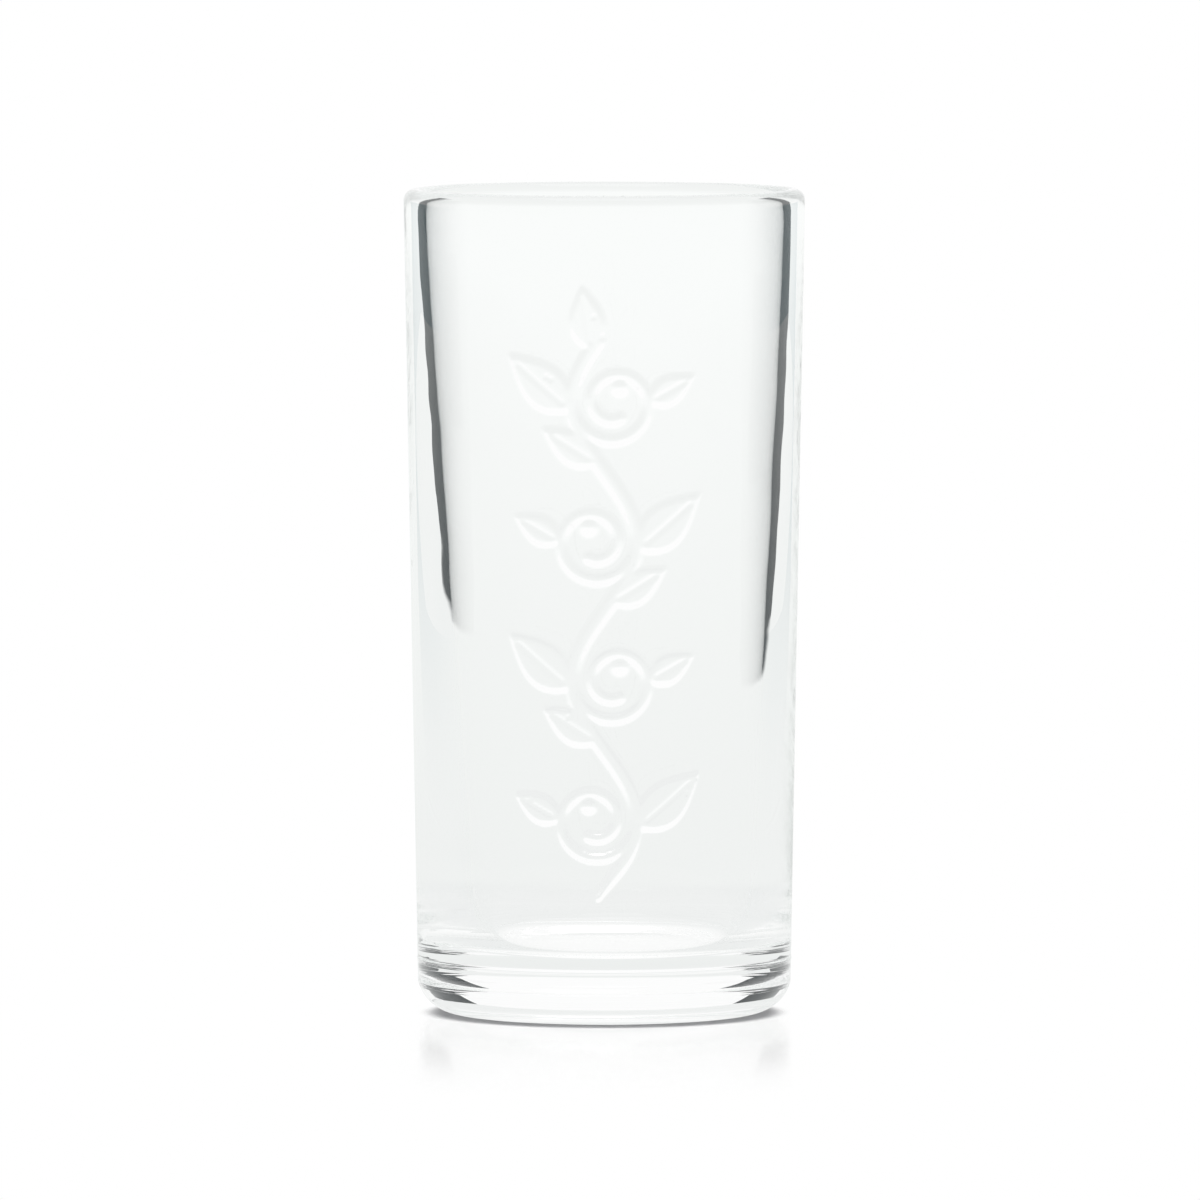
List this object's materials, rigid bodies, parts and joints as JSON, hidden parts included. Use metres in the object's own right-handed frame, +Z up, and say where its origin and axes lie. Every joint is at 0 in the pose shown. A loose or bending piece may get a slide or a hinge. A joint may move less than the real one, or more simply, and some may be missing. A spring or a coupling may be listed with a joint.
{
  "type": "schnapps glass",
  "caption": "Tall, slightly tapered schnapps glass in clear pressed glass, with a thick base, a rounded rim and a raised leaf vine on the front.",
  "frame": {"origin": "on the glass's axis, in the plane that it stands on", "axes": "+Z up along the axis, towards the rim; the front with the raised vine faces -Y; +X to the right as seen from the front"},
  "size_m": [0.0388, 0.0391, 0.08],
  "materials": {
    "glass": "clear, fire-polished"
  },
  "bodies": {
    "root": {"tumbler": "glass"}
  },
  "joints": []
}
